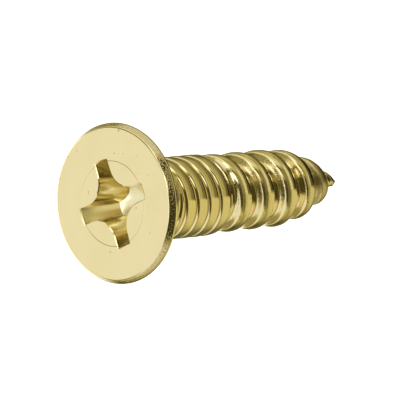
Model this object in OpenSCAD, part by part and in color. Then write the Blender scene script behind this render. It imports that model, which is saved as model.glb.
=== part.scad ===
// Flat countersunk cross-recess wood screw. The axis lies along +Y, the middle
// of the flat face is the origin and the point looks along +Y. It is one headed,
// thread-rolled and plated blank: two ridges run side by side under the head,
// and one of them dies away to leave the coarse wood thread.

/* [Overall] */
// Length from the flat face to the point
length = 19.05; // [15.5:0.05:28]
// Colour of the plated metal
metal = [0.86, 0.75, 0.42]; // [0:0.01:1]

/* [Head] */
// Diameter over the rim of the head
head_d = 9.2; // [7.6:0.1:11.2]
// Included angle of the countersunk underside
head_angle = 82; // [78:1:92]
// Distance from the flat face to the back edge of the rim
rim_h = 0.45; // [0.35:0.01:0.8]
// How far the rim slopes in from its back edge to the flat face
rim_slope = 0.25; // [0.05:0.01:0.4]

/* [Cross recess] */
// Diameter over the wings where they open in the face
recess_d = 5.1; // [4.2:0.05:5.6]
// Full depth down to the pip at the bottom
recess_depth = 2.95; // [2.4:0.05:3.1]
// Width of a wing at its outer end
wing_w = 0.97; // [0.85:0.01:1.25]
// Radius of the metal corner between two wings
lobe_r = 1.4; // [1:0.05:1.6]
// Slope of a wing's outer end, measured from the axis
wing_slope = 26.5; // [22:0.5:30]
// Slope of the metal corners between the wings
lobe_slope = 5.75; // [4:0.25:8]
// Slope of the bottom, measured from a flat floor
floor_slope = 28; // [20:1:35]
// Turn of the cross about the axis, from +X towards +Z
recess_turn = 21; // [0:1:90]

/* [Neck] */
// Diameter of the plain neck under the head
neck_d = 4.6; // [4.2:0.05:5]
// Length of the plain neck
neck_h = 0.1; // [0.05:0.05:1.5]

/* [Thread] */
// Distance the thread climbs in one turn, 13 to the inch
lead = 1.954; // [1.72:0.002:2.4]
// Turn of the thread about the axis
thread_turn = 147; // [0:1:359]
// Width of a ridge over its top
land_w = 0.82; // [0.6:0.01:0.9]

/* [Close thread] */
// Diameter over the two ridges under the head
close_d = 4.76; // [4.7:0.02:5.6]
// Diameter at the bottom of the narrow grooves
close_root_d = 4.1; // [3.8:0.02:4.3]
// Distance from the face to where the second ridge begins to fade
close_end = 7; // [5:0.1:10]
// Length over which the second ridge fades
fade_h = 1.8; // [1:0.1:3]

/* [Wood thread] */
// Diameter over the crests
wood_d = 4.56; // [4.5:0.02:5.4]
// Diameter at the bottom of the wide grooves
wood_root_d = 3.5; // [3.2:0.02:3.7]
// Length of the tapered end
taper_h = 6.1; // [4:0.05:8]

/* [Hidden] */

EPS = 0.01;
ROUND = 96;               // segments of the lathed head
LOBE_STEPS = 8;           // points along a rounded corner of the recess
WINGS = 4;

half_angle = head_angle / 2;
head_r = head_d / 2;
neck_r = neck_d / 2;
cone_h = (head_r - neck_r) / tan(half_angle);
neck_start = rim_h + cone_h;
thread_start = neck_start + neck_h;

// The recess: wing ends on one cone, then a shallower cone for the floor
recess_r = recess_d / 2;
wing_h = (recess_depth - recess_r * tan(floor_slope)) / (1 - tan(wing_slope) * tan(floor_slope));
floor_r = recess_r - wing_h * tan(wing_slope);
lobe_out = wing_w / 2 + lobe_r;   // middle of a lobe's round corner, in X and in Y
lobe_size = recess_r + lobe_r;    // reaches past the wing ends

// The thread: a grid of rows that follow the ridges round the shank
COLUMNS = 40;
land = land_w / lead / 2;         // parts of one lead from a crest to the edge of its top
slit = 0.25;                      // from a crest to the middle of a narrow groove
wall = 0.5 - land;                // to the edge of the other ridge
ROWS = [-wall, -slit, -land, -land / 2, 0, land / 2, land, slit, wall, 0.4, 0.5, 0.6];
PER_LEAD = len(ROWS);
leads = ceil(length / lead) + 3;
overlap = 0.15;                   // the thread's first ring lies this deep in the neck
first_z = thread_start - overlap;
first_r = neck_r - 0.05;
run_in = 0.3;                     // the thread rises to full height over this length
NEAR = 0.02;                      // grid points nearer than this to an end join it
TIP_R = 0.05;
CREST_CURVE = 1.95;               // how fully the crests keep their size along the taper
CORE_CURVE = 1.35;                // the same for the metal under them

// Heights across one lead, from the bottom of a groove (0) to a crest (1)
LAND_EDGE = 0.9;                  // edge of a ridge top in the close thread
HEAD_EDGE = 0.81;                 // edge of a wood ridge on the side of the head
TIP_EDGE = 0.83;                  // edge of a wood ridge on the side of the point
STEEP_FOOT = 0.42;                // where the steep side of a wood ridge ends
SLOPED_FOOT = 0.43;               // where its other side eases into a long slope
SLOPE_END = 0.1;                  // half-way between two wood ridges

function clamp01(t) = max(0, min(1, t));
function smooth(t) = let (c = clamp01(t)) c * c * (3 - 2 * c);
function mix(a, b, t) = a + (b - a) * t;

// Place on the thread at height z and angle a: whole numbers are on the main crest
function place(z, a) = z / lead - (a - thread_turn) / 360;

function close_shape(p) =
    lookup(abs(2 * p - round(2 * p)) / 2, [[0, 1], [land, LAND_EDGE], [slit, 0]]);
function wood_shape(p) =
    lookup(p - round(p), [
        [-0.5, SLOPE_END], [-0.4, 0], [-wall, STEEP_FOOT], [-land, HEAD_EDGE], [0, 1],
        [land, TIP_EDGE], [wall, SLOPED_FOOT], [0.5, SLOPE_END]
    ]);

// How far the second ridge has faded, 0 to 1
function fade(z) = smooth((z - close_end) / fade_h);
// Part of the full size that is left along the tapered end
function left(z, curve) = 1 - pow(clamp01((z - length + taper_h) / taper_h), curve);

function close_r(p) = mix(close_root_d, close_d, close_shape(p)) / 2;
function core_r(z) = mix(TIP_R, wood_root_d / 2, left(z, CORE_CURVE));
function crest_r(z) = wood_d / 2 * left(z, CREST_CURVE);
function wood_r(z, p) =
    core_r(z) + wood_shape(p) * max(0, crest_r(z) - core_r(z));
function shank_r(z, p) = mix(close_r(p), wood_r(z, p), fade(z));
function screw_r(z, a) =
    mix(first_r, shank_r(z, place(z, a)), smooth((z - thread_start) / run_in));

function column_a(j) = 360 * j / COLUMNS;
// Height of grid row i at column j
function grid_z(i, j) =
    lead * (floor(i / PER_LEAD) + ROWS[i % PER_LEAD] + first_turn)
    + lead * (column_a(j) - thread_turn) / 360;
// Whole turn that starts the grid below the first ring
first_turn = floor(first_z / lead) - 2;

// Number of a grid point: the start ring, then the point, then the grid itself
function point_id(i, j) =
    j == COLUMNS ? point_id(i + PER_LEAD, 0)
    : grid_z(i, j) < first_z + NEAR ? j
    : grid_z(i, j) > length - NEAR ? COLUMNS
    : COLUMNS + 2 + i * COLUMNS + j;

function ring_point(z, r, a) = [r * cos(a), r * sin(a), z];
function is_face(f) = f[0] != f[1] && f[1] != f[2] && f[2] != f[0];

// Half of the outline of the head, from the middle of the face to the neck
function head_outline() = [
    [0, 0], [head_r - rim_slope, 0], [head_r, rim_h],
    [neck_r, neck_start], [neck_r, thread_start], [0, thread_start]
];

// One corner of metal between two wings, leaning in towards the axis
module recess_lobe() {
    rotate([0, 0, 45])
        rotate([0, -lobe_slope, 0])
            rotate([0, 0, -45])
                translate([0, 0, -recess_depth])
                    linear_extrude(height = 3 * recess_depth)
                        polygon(concat(
                            [for (k = [0 : LOBE_STEPS])
                                let (a = 180 + 90 * k / LOBE_STEPS)
                                [lobe_out + lobe_r * cos(a), lobe_out + lobe_r * sin(a)]],
                            [[lobe_size, wing_w / 2], [lobe_size, lobe_size], [wing_w / 2, lobe_size]]
                        ));
}

// The cross recess as a solid to cut away, opening at z = 0
module recess() {
    difference() {
        rotate_extrude($fn = ROUND)
            polygon([
                [0, -EPS], [recess_r + EPS * tan(wing_slope), -EPS],
                [floor_r, wing_h], [0, recess_depth]
            ]);
        for (k = [0 : WINGS - 1])
            rotate([0, 0, 360 * k / WINGS])
                recess_lobe();
    }
}

module head() {
    difference() {
        rotate_extrude($fn = ROUND)
            polygon(head_outline());
        rotate([0, 0, -recess_turn])
            recess();
    }
}

// The threaded shank: a closed helical grid from the neck to the point
module thread() {
    last = leads * PER_LEAD;
    points = concat(
        [for (j = [0 : COLUMNS - 1]) ring_point(first_z, first_r, column_a(j))],
        [[0, 0, length], [0, 0, first_z]],
        [for (i = [0 : last]) for (j = [0 : COLUMNS - 1])
            let (z = grid_z(i, j), a = column_a(j))
            ring_point(z, screw_r(z, a), a)]
    );
    cap = [for (j = [0 : COLUMNS - 1]) [COLUMNS + 1, (j + 1) % COLUMNS, j]];
    sides = [for (i = [0 : last - 1]) for (j = [0 : COLUMNS - 1])
        let (a = point_id(i, j), b = point_id(i, j + 1),
             c = point_id(i + 1, j + 1), d = point_id(i + 1, j))
        for (f = [[a, c, b], [a, d, c]]) if (is_face(f)) f];
    polyhedron(points = points, faces = concat(cap, sides), convexity = 10);
}

// The whole screw, laid along +Y
module screw() {
    color(metal)
        rotate([-90, 0, 0])
            union() {
                head();
                thread();
            }
}

screw();
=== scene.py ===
import math

import bmesh
import bpy
from mathutils import Matrix, Vector, noise


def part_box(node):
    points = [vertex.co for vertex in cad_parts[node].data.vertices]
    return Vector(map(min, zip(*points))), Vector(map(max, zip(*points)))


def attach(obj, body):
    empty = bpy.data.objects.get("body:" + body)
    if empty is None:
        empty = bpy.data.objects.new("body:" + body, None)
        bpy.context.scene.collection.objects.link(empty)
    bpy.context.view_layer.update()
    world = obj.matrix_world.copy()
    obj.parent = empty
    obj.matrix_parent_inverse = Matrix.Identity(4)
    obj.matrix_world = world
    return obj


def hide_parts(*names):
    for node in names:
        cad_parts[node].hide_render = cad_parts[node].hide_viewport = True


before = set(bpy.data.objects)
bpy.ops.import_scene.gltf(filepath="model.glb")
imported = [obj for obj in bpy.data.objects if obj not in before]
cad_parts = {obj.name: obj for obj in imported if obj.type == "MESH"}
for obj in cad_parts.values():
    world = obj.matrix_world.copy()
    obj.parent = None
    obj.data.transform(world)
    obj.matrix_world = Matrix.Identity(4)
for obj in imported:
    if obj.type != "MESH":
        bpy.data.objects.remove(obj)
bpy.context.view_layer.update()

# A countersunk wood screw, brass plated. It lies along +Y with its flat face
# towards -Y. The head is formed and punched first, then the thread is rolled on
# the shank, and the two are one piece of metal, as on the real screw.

low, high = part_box("screw")
length = high[1] - low[1]
head_r = (high[0] - low[0]) / 2
mm = 0.001

# ---------------------------------------------------------------------------
# Head: a disc with a low sloping rim and the countersunk cone that runs down to
# the plain neck. It is drawn out ring by ring from the flat face.
# ---------------------------------------------------------------------------
rim_h = 0.45 * mm
face_r = head_r - 0.29 * mm
neck_r = 2.3 * mm
neck_h = 0.1 * mm
half_angle = math.radians(41)
neck_start = rim_h + (head_r - neck_r) / math.tan(half_angle)
neck_end = neck_start + neck_h

bpy.ops.object.select_all(action="DESELECT")
bpy.ops.mesh.primitive_circle_add(
    vertices=192, radius=face_r, fill_type="NGON", rotation=(math.radians(90), 0, 0)
)
head = bpy.context.object
head.name = "Screw"
bpy.ops.object.transform_apply(location=False, rotation=True, scale=False)

rings = [
    (face_r + 0.070 * mm, 0.033 * mm),
    (face_r + 0.095 * mm, 0.060 * mm),
    (head_r - 0.030 * mm, rim_h - 0.150 * mm),
    (head_r - 0.006 * mm, rim_h - 0.105 * mm),
    (head_r, rim_h - 0.060 * mm),
    (head_r, rim_h + 0.010 * mm),
    (head_r - 0.010 * mm, rim_h + 0.045 * mm),
    (head_r - 0.040 * mm, rim_h + 0.085 * mm),
    (neck_r + 0.06 * mm, neck_start - 0.06 * mm),
    (neck_r, neck_start + 0.01 * mm),
    (neck_r, neck_end),
]

bpy.ops.object.mode_set(mode="EDIT")
bpy.ops.mesh.select_all(action="SELECT")
ring_r = face_r
ring_y = 0
for next_r, next_y in rings:
    bpy.ops.mesh.extrude_region_move(TRANSFORM_OT_translate={"value": (0, next_y - ring_y, 0)})
    grow = next_r / ring_r
    bpy.ops.transform.resize(value=(grow, 1, grow), center_override=(0, next_y, 0))
    ring_r = next_r
    ring_y = next_y
bpy.ops.mesh.select_all(action="SELECT")
bpy.ops.mesh.normals_make_consistent(inside=False)
bpy.ops.object.mode_set(mode="OBJECT")

# ---------------------------------------------------------------------------
# Cross recess: a blunt cone with a shallow pointed floor, from which four
# rounded corners of metal are kept back. What is left is the four-winged punch.
# ---------------------------------------------------------------------------
recess_r = 2.55 * mm
recess_depth = 2.95 * mm
wing_w = 0.97 * mm
lobe_r = 1.4 * mm
wing_slope = math.radians(26.5)
lobe_slope = math.radians(5.75)
floor_slope = math.radians(28)
recess_turn = math.radians(21)
proud = 0.05 * mm           # the punch reaches this far out of the face while it cuts
lobe_side = 4 * mm          # a lobe's block reaches past the wing ends

wing_h = recess_depth - recess_r * math.tan(floor_slope)
wing_h = wing_h / (1 - math.tan(wing_slope) * math.tan(floor_slope))
floor_r = recess_r - wing_h * math.tan(wing_slope)

bpy.ops.object.select_all(action="DESELECT")
bpy.ops.mesh.primitive_cone_add(
    vertices=96,
    radius1=recess_r + proud * math.tan(wing_slope),
    radius2=floor_r,
    depth=wing_h + proud,
    location=(0, (wing_h - proud) / 2, 0),
    rotation=(math.radians(-90), 0, 0),
)
punch = bpy.context.object
punch.name = "punch"
bpy.ops.object.transform_apply(location=True, rotation=True, scale=True)
bpy.ops.object.mode_set(mode="EDIT")
bpy.ops.mesh.select_mode(type="FACE")
bpy.ops.mesh.select_all(action="DESELECT")
shape = bmesh.from_edit_mesh(punch.data)
for face in shape.faces:
    face.select_set(face.calc_center_median().y > wing_h - 0.01 * mm)
bmesh.update_edit_mesh(punch.data)
bpy.ops.mesh.extrude_region_move(
    TRANSFORM_OT_translate={"value": (0, recess_depth - wing_h, 0)}
)
bpy.ops.mesh.merge(type="CENTER")
bpy.ops.object.mode_set(mode="OBJECT")

for quarter in range(4):
    bpy.ops.object.select_all(action="DESELECT")
    bpy.ops.mesh.primitive_cube_add(size=1)
    lobe = bpy.context.object
    centre = wing_w / 2 + lobe_side / 2
    lobe.scale = (lobe_side, 4 * recess_depth, lobe_side)
    lobe.location = (centre, 0, centre)
    bpy.ops.object.transform_apply(location=True, rotation=True, scale=True)
    bpy.ops.object.mode_set(mode="EDIT")
    bpy.ops.mesh.select_mode(type="EDGE")
    bpy.ops.mesh.select_all(action="DESELECT")
    shape = bmesh.from_edit_mesh(lobe.data)
    for edge in shape.edges:
        middle = (edge.verts[0].co + edge.verts[1].co) / 2
        edge.select_set(middle.x < wing_w and middle.z < wing_w and abs(middle.y) < mm)
    bmesh.update_edit_mesh(lobe.data)
    bpy.ops.mesh.bevel(offset=lobe_r, offset_type="OFFSET", segments=16, affect="EDGES")
    bpy.ops.object.mode_set(mode="OBJECT")
    lean = Matrix.Rotation(-lobe_slope, 4, Vector((1, 0, -1)))
    lobe.data.transform(Matrix.Rotation(math.radians(90 * quarter), 4, "Y") @ lean)
    cut = punch.modifiers.new("lobe", "BOOLEAN")
    cut.operation = "DIFFERENCE"
    cut.solver = "EXACT"
    cut.object = lobe
    bpy.context.view_layer.objects.active = punch
    bpy.ops.object.modifier_apply(modifier="lobe")
    bpy.data.objects.remove(lobe)

punch.data.transform(Matrix.Rotation(-recess_turn, 4, "Y"))

# The punch flares where it meets the face, which leaves a narrow lip there
lip = 0.045 * mm
bpy.ops.object.select_all(action="DESELECT")
bpy.context.view_layer.objects.active = punch
punch.select_set(True)
bpy.ops.object.mode_set(mode="EDIT")
bpy.ops.mesh.select_mode(type="VERT")
bpy.ops.mesh.select_all(action="SELECT")
bpy.ops.mesh.bisect(plane_co=(0, lip, 0), plane_no=(0, 1, 0), threshold=0.0005 * mm)
shape = bmesh.from_edit_mesh(punch.data)
shape.normal_update()
for vert in shape.verts:
    if vert.co.y < 0:
        outward = Vector((vert.normal.x, 0, vert.normal.z)).normalized()
        vert.co += outward * (lip + proud)
bmesh.update_edit_mesh(punch.data)
bpy.ops.object.mode_set(mode="OBJECT")

cut = head.modifiers.new("punch", "BOOLEAN")
cut.operation = "DIFFERENCE"
cut.solver = "EXACT"
cut.object = punch
bpy.ops.object.select_all(action="DESELECT")
bpy.context.view_layer.objects.active = head
head.select_set(True)
bpy.ops.object.modifier_apply(modifier="punch")
bpy.data.objects.remove(punch)

# The cuts leave a few slivers without volume behind, which go. The inner edge
# of the lip stays crisp.
sliver = 0.0005 * mm
bpy.ops.object.mode_set(mode="EDIT")
bpy.ops.mesh.select_mode(type="VERT")
bpy.ops.mesh.select_all(action="SELECT")
bpy.ops.mesh.dissolve_degenerate(threshold=sliver)
bpy.ops.mesh.remove_doubles(threshold=sliver)
bpy.ops.mesh.delete_loose(use_verts=True, use_edges=True, use_faces=False)
bpy.ops.mesh.normals_make_consistent(inside=False)
shape = bmesh.from_edit_mesh(head.data)
for edge in shape.edges:
    in_mouth = all(vert.co.length < 3 * mm for vert in edge.verts)
    at_lip = all(abs(vert.co.y - lip) < 0.001 * mm for vert in edge.verts)
    edge.smooth = not (in_mouth and at_lip)
bmesh.update_edit_mesh(head.data)
bpy.ops.object.mode_set(mode="OBJECT")

# ---------------------------------------------------------------------------
# Shank: a grid whose rows follow the ridges round the screw. Two ridges with
# narrow grooves run side by side under the head. One dies away and leaves the
# single wood thread, which tapers into a bare gimlet point.
# ---------------------------------------------------------------------------
lead = 1.954 * mm
crest_y = 10.44 * mm
overlap = 0.15 * mm         # how deep the shank starts inside the neck
shank_start = neck_end - overlap
around = 168
rows_a_lead = 56

# These and the two profiles below are plain mm
close_end = 7               # where the second ridge begins to die away
fade_h = 1.8
taper_h = 6.1
tip_r = 0.03
core_r = 1.72               # the metal under the wood thread, less the radius at the tip
core_curve = 1.35           # how fully the core keeps its size along the taper
crest_r = 2.28
crest_curve = 1.95
start_r = 2.29              # the thread's first ring, just inside the neck
run_in = 0.2
seam_x = 0.40               # an uneven lap runs on both sides of this place on a ridge
seam_gap = 0.05
seam_w = 0.09
seam_depth = 0.05
seam_grain = 9              # how fast the lap comes and goes
soften = 0.022

# Distance along the axis from the main crest, and radius there
close_profile = [
    (-0.977, 2.375), (-0.70, 2.366), (-0.64, 2.352), (-0.60, 2.335), (-0.565, 2.31),
    (-0.49, 2.07), (-0.415, 2.31), (-0.38, 2.335), (-0.34, 2.352), (-0.28, 2.366),
    (0.0, 2.375), (0.28, 2.366), (0.34, 2.352), (0.38, 2.335), (0.415, 2.31),
    (0.49, 2.07), (0.565, 2.31), (0.60, 2.335), (0.64, 2.352), (0.70, 2.366),
    (0.977, 2.375),
]
# The same for the wood thread, as shares of the height from groove to crest
wood_profile = [
    (-0.977, 0.10), (-0.85, 0.05), (-0.74, 0.02), (-0.66, 0.05), (-0.57, 0.36),
    (-0.51, 0.68), (-0.46, 0.78), (-0.40, 0.83), (-0.20, 0.95), (0.0, 1.0),
    (0.20, 0.98), (0.33, 0.94), (0.37, 0.90), (0.41, 0.76), (0.48, 0.54),
    (0.58, 0.42), (0.72, 0.29), (0.85, 0.19), (0.977, 0.10),
]


def along(profile, x):
    for (x0, h0), (x1, h1) in zip(profile, profile[1:]):
        if x <= x1:
            return h0 + (h1 - h0) * (x - x0) / (x1 - x0)
    return profile[-1][1]


def softened(profile, x):
    near = along(profile, x - soften)
    far = along(profile, x + soften)
    return (near + 2 * along(profile, x) + far) / 4


def smooth(t):
    t = max(0, min(1, t))
    return t * t * (3 - 2 * t)


def shank_radius(y, turn):
    place = (y - crest_y) / lead - turn / math.tau
    x = (place - round(place)) * lead / mm
    x = max(-0.955, min(0.955, x))  # half a lead, less the softening
    y = y / mm
    taper = max(0, min(1, (y - length / mm + taper_h) / taper_h))
    core = tip_r + core_r * (1 - taper ** core_curve)
    crest = crest_r * (1 - taper ** crest_curve)
    wood = core + softened(wood_profile, x) * max(0, crest - core)
    close = softened(close_profile, x)
    fade = smooth((y - close_end) / fade_h)
    radius = close + (wood - close) * fade
    seam = fade * max(0, 1 - abs(abs(x - seam_x) - seam_gap) / seam_w)
    lap = noise.noise((math.sin(turn) * seam_grain, y * seam_grain, math.cos(turn) * seam_grain))
    radius -= seam_depth * seam * max(0, lap)
    start = smooth((y - neck_end / mm) / run_in)
    radius = start_r + (radius - start_r) * start
    return max(0, radius) * mm


points = []
rows = []
first_row = math.floor((shank_start - crest_y) / lead * rows_a_lead) - rows_a_lead
last_row = math.ceil((length - crest_y) / lead * rows_a_lead) + 1
for row in range(first_row, last_row):
    line = []
    for column in range(around + 1):
        turn = math.tau * column / around
        y = crest_y + lead * (row / rows_a_lead + column / around)
        y = max(shank_start, min(length, y))
        radius = shank_radius(y, turn) if y < length else 0
        line.append(len(points))
        points.append((radius * math.sin(turn), y, radius * math.cos(turn)))
    rows.append(line)
faces = []
for near, far in zip(rows, rows[1:]):
    for column in range(around):
        faces.append((near[column], far[column], far[column + 1], near[column + 1]))
shank_mesh = bpy.data.meshes.new("shank")
shank_mesh.from_pydata(points, [], faces)
shank = bpy.data.objects.new("shank", shank_mesh)
bpy.context.collection.objects.link(shank)
bpy.ops.object.select_all(action="DESELECT")
bpy.context.view_layer.objects.active = shank
shank.select_set(True)
bpy.ops.object.mode_set(mode="EDIT")
bpy.ops.mesh.select_mode(type="VERT")
bpy.ops.mesh.select_all(action="SELECT")
bpy.ops.mesh.remove_doubles(threshold=0.0005 * mm)
bpy.ops.mesh.select_all(action="DESELECT")
bpy.ops.mesh.select_non_manifold(extend=False, use_wire=False, use_verts=False)
bpy.ops.mesh.edge_face_add()
bpy.ops.mesh.select_all(action="SELECT")
bpy.ops.mesh.normals_make_consistent(inside=False)
bpy.ops.object.mode_set(mode="OBJECT")

# Head and shank are one piece of metal. Its flat faces are shaded flat, however
# soft their edges are.
bpy.ops.object.select_all(action="DESELECT")
shank.select_set(True)
head.select_set(True)
bpy.context.view_layer.objects.active = head
bpy.ops.object.join()
screw = head
bpy.ops.object.shade_smooth_by_angle(angle=math.radians(32))
flat = screw.modifiers.new("flat", "WEIGHTED_NORMAL")
flat.keep_sharp = True
bpy.ops.object.modifier_apply(modifier=flat.name)
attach(screw, "root")
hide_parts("screw")


# ---------------------------------------------------------------------------
# Shader maths: a thin wrapper, so a material's sums read as sums. `use` adds
# any other node and gives back the output asked for. A tree's first nodes come
# from a Socket that holds only the tree.
# ---------------------------------------------------------------------------
class Socket:
    def __init__(self, tree, socket=None):
        self.tree = tree
        self.socket = socket

    def use(self, kind, output=0, settings=None, **inputs):
        node = self.tree.nodes.new(kind)
        for name, value in (settings or {}).items():
            setattr(node, name, value)
        for name, value in inputs.items():
            key = int(name[1:]) if name[1:].isdigit() else name.replace("_", " ")
            if isinstance(value, Socket):
                self.tree.links.new(value.socket, node.inputs[key])
            else:
                node.inputs[key].default_value = value
        return Socket(self.tree, node.outputs[output]) if node.outputs else None

    def sum(self, operation, first, second, third=0):
        settings = {"operation": operation}
        return self.use("ShaderNodeMath", settings=settings, _0=first, _1=second, _2=third)

    def __add__(self, other):
        return self.sum("ADD", self, other)

    def __radd__(self, other):
        return self.sum("ADD", other, self)

    def __sub__(self, other):
        return self.sum("SUBTRACT", self, other)

    def __rsub__(self, other):
        return self.sum("SUBTRACT", other, self)

    def __mul__(self, other):
        return self.sum("MULTIPLY", self, other)

    def __rmul__(self, other):
        return self.sum("MULTIPLY", other, self)

    def between(self, start, end):
        """0 below start, 1 above end, smooth in between."""
        return self.use(
            "ShaderNodeMapRange", settings={"interpolation_type": "SMOOTHSTEP"},
            Value=self, From_Min=start, From_Max=end,
        )

    def noise(self, scale, detail):
        return self.use("ShaderNodeTexNoise", Vector=self, Scale=scale, Detail=detail)

    def parts(self):
        """X, Y and Z of a vector."""
        return [self.use("ShaderNodeSeparateXYZ", output=axis, Vector=self) for axis in "XYZ"]

    def tint(self, first, second):
        """The first colour where this is 0, the second where it is 1."""
        return self.use(
            "ShaderNodeMix", output=2, settings={"data_type": "RGBA"},
            _0=self, _6=first, _7=second,
        )


# ---------------------------------------------------------------------------
# Brass plate: bright and slightly uneven, with fine marks from tumbling, a faint
# ring left by the punch on the face, a softer shine in the recess, and a rough
# rim and last turns. Shade and light are also painted into the colour: the rim
# is painted darker all round, the recess a paler brass, and the face's pinholes
# as dark dots.
# ---------------------------------------------------------------------------
material = bpy.data.materials.new("brass plate")
material.use_nodes = True
material.node_tree.nodes.clear()
plate = Socket(material.node_tree)
place = plate.use("ShaderNodeTexCoord", output="Object")
x, y, z = place.parts()
axis_r = plate.sum("SQRT", x * x + z * z, 0)

mottle = place.noise(500, 3)
grain = place.noise(6000, 3)
speckle = place.noise(9000, 2).between(0.50, 0.62)
pinhole_shade = place.noise(3000, 1).between(0.73, 0.77)
ring = 1 - plate.sum("ABSOLUTE", axis_r - 2.44 * mm, 0).between(0.0, 0.04 * mm)
on_face = 1 - y.between(0.005 * mm, 0.03 * mm)
on_rim = axis_r.between(4.38 * mm, 4.45 * mm) * (1 - y.between(0.30 * mm, 0.40 * mm))
on_last = y.between(14.5 * mm, 15.6 * mm) * (1 - y.between(17.4 * mm, 17.9 * mm))
on_wood = y.between(7 * mm, 9 * mm)
rough_places = on_rim * 0.9 + on_last * 0.5 + on_wood * 0.2

bright = (0.89, 0.77, 0.43, 1)
deep = (0.78, 0.67, 0.31, 1)
fine_grain = place.noise(22000, 2)
worn = (mottle - 0.35) * 0.8 + (fine_grain - 0.5) * 1.8 + speckle * rough_places * 0.6
colour = worn.tint(bright, deep)
colour = (ring * on_face * 0.35).tint(colour, (0.42, 0.33, 0.12, 1))
# Painted shade: dark dots where the face has pinholes, which are not cut into it
colour = (pinhole_shade * 0.5).tint(colour, (0.25, 0.19, 0.07, 1))
in_recess = y.between(0.06 * mm, 0.2 * mm) * (1 - y.between(2.85 * mm, 2.95 * mm))
in_recess = in_recess * (1 - axis_r.between(2.5 * mm, 2.6 * mm))
# Painted light: the recess is painted a paler brass, against the deeper, warmer colour that
# light bouncing inside it takes on
colour = in_recess.tint(colour, (0.91, 0.825, 0.53, 1))
colour = (on_last * (0.2 + grain * 0.5)).tint(colour, (0.42, 0.33, 0.12, 1))
# Painted shade: the whole rim is painted darker, standing in for the dark room it reflects
colour = (on_rim * 0.5).tint(colour, (0.42, 0.34, 0.13, 1))

roughness = 0.09 + mottle * 0.05 + on_last * 0.16 + on_wood * 0.03 + in_recess * 0.09
roughness = roughness + speckle * rough_places * 0.2
height = grain * (0.6 - 0.55 * in_recess) - ring * on_face * 2 - speckle * rough_places * 2
bump = plate.use("ShaderNodeBump", Strength=0.35, Distance=0.01 * mm, Height=height)
metal = plate.use(
    "ShaderNodeBsdfPrincipled",
    Base_Color=colour, Metallic=1.0, Roughness=roughness, Normal=bump,
)
plate.use("ShaderNodeOutputMaterial", Surface=metal)
screw.data.materials.clear()
screw.data.materials.append(material)

# ---------------------------------------------------------------------------
# Studio: a plain white floor well below the screw and a soft white room. Dark
# parts of the room behind the screw and on its right give the metal its depth.
# ---------------------------------------------------------------------------
bpy.ops.object.select_all(action="DESELECT")
bpy.ops.mesh.primitive_plane_add(size=6, location=(0, 0, low[2] - 30 * mm))
floor = bpy.context.object
floor.name = "floor"
paper = bpy.data.materials.new("paper")
paper.use_nodes = True
paper_shader = paper.node_tree.nodes["Principled BSDF"]
paper_shader.inputs["Base Color"].default_value = (0.92, 0.92, 0.92, 1)
paper_shader.inputs["Roughness"].default_value = 0.9
paper_shader.inputs["Emission Color"].default_value = (1, 1, 1, 1)
paper_shader.inputs["Emission Strength"].default_value = 0.75
floor.visible_glossy = False
floor.data.materials.append(paper)

world = bpy.data.worlds.new("studio")
bpy.context.scene.world = world
world.use_nodes = True
world.node_tree.nodes.clear()
sky = Socket(world.node_tree)
east, north, up = sky.use("ShaderNodeTexCoord", output="Generated").parts()


def lamp(direction, edge, core):
    """1 within a circle round a direction, fading to 0 at its edge, both as cosines."""
    facing = Vector(direction).normalized()
    return (east * facing.x + north * facing.y + up * facing.z).between(edge, core)


# Above the floor the light fades towards the north, and sooner in the west
above = up.between(-0.08, -0.02)
behind = north.between(0.48, 0.88) * east.between(-1.1, -0.5) * above
west = north.between(0.35, 0.60) * (1 - east.between(-0.60, -0.30)) * above
far = north.between(0.76, 0.90) * above
# The floor is a little darker, most of all on the left behind the screw. So is
# what lies steeply below or above the screw towards the north.
floor_part = (1 - above) * north.between(-0.2, 0.2)
dull = (1 - above) * (1 - east.between(-0.35, 0.15)) * north.between(0.0, 0.3)
under = (1 - up.between(-0.86, -0.62)) * north.between(0.2, 0.5)
over = up.between(0.68, 0.86) * north.between(0.2, 0.5)
# Half-light on both sides
middle = up.between(-0.85, -0.70) * (1 - up.between(0.72, 0.85))
sides = north.between(0.0, 0.15) * (1 - north.between(0.42, 0.56)) * middle
# The room on the right and in front is dark, except straight up and down
screen = east.between(0.34, 0.50) * (1 - north.between(0.1, 0.3))
screen = screen * up.between(-0.82, -0.62) * (1 - up.between(0.80, 0.92))
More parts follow.
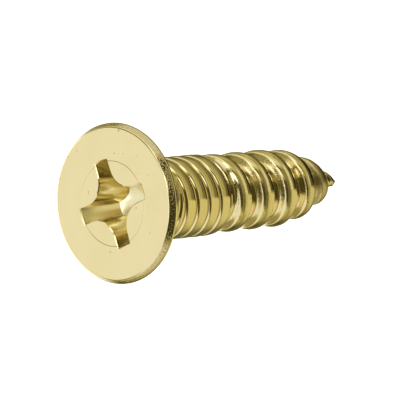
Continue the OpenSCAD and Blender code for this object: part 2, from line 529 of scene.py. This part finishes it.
# Three dim patches in front keep the rim and the thread's flanks from going white
gap = lamp((-0.68, -0.50, 0.54), 0.91, 0.97)
high_gap = lamp((-0.22, -0.80, 0.55), 0.86, 0.95)
low_gap = lamp((-0.68, -0.42, -0.60), 0.88, 0.96)
level = (1 - 0.93 * behind) * (1 - 0.8 * far) * (1 - 0.78 * dull) * (1 - 0.24 * floor_part)
level = level * (1 - 0.6 * west) * (1 - 0.6 * under) * (1 - 0.6 * over)
level = level * (1 - 0.66 * sides) * (1 - 0.93 * screen) * (1 - 0.75 * gap)
level = level * (1 - 0.65 * high_gap) * (1 - 0.65 * low_gap)
# A lamp on the left, a tall narrow one in front, and two small ones on the right,
# for the left wing of the recess and for the lip round it
side_lamp = lamp((-0.97, 0.14, -0.21), 0.80, 0.92)
front_lamp = east.between(0.03, 0.09) * (1 - east.between(0.28, 0.36))
front_lamp = front_lamp * (1 - north.between(-0.5, -0.3)) * up.between(-0.35, -0.15)
high_lamp = lamp((0.86, -0.09, 0.49), 0.955, 0.98)
lip_lamp = lamp((0.63, -0.66, 0.40), 0.965, 0.985)
level = level + 1.4 * side_lamp + 0.9 * front_lamp + 0.4 * high_lamp + 2.0 * lip_lamp
# Brass among brass things: what is dim in the room is also warmer
rich = level.between(0.70, 0.98)
green = level * (0.90 + 0.10 * rich)
blue = level * (0.42 + 0.58 * rich)
room = sky.use("ShaderNodeCombineXYZ", X=level, Y=green, Z=blue)
room = sky.use("ShaderNodeLightPath", output="Is Camera Ray").tint(room, (1.1, 1.1, 1.1, 1))
light = sky.use("ShaderNodeBackground", Color=room, Strength=0.94)
sky.use("ShaderNodeOutputWorld", Surface=light)

# ---------------------------------------------------------------------------
# Camera: a long lens, a little above the screw and in front of its head
# ---------------------------------------------------------------------------
azimuth = math.radians(42.57)
elevation = math.radians(5.38)
distance = 459.8 * mm
aim = Vector((0, 7.36 * mm, -0.29 * mm))
back = Vector((
    math.sin(azimuth) * math.cos(elevation),
    -math.cos(azimuth) * math.cos(elevation),
    math.sin(elevation),
))
camera_data = bpy.data.cameras.new("camera")
camera_data.lens = 720
camera_data.sensor_width = 36
camera_data.clip_start = 0.01
camera_data.clip_end = 100
camera = bpy.data.objects.new("camera", camera_data)
bpy.context.collection.objects.link(camera)
camera.location = aim + back * distance
camera.rotation_euler = back.to_track_quat("Z", "Y").to_euler()
bpy.context.scene.camera = camera
bpy.context.scene.view_settings.view_transform = "Standard"
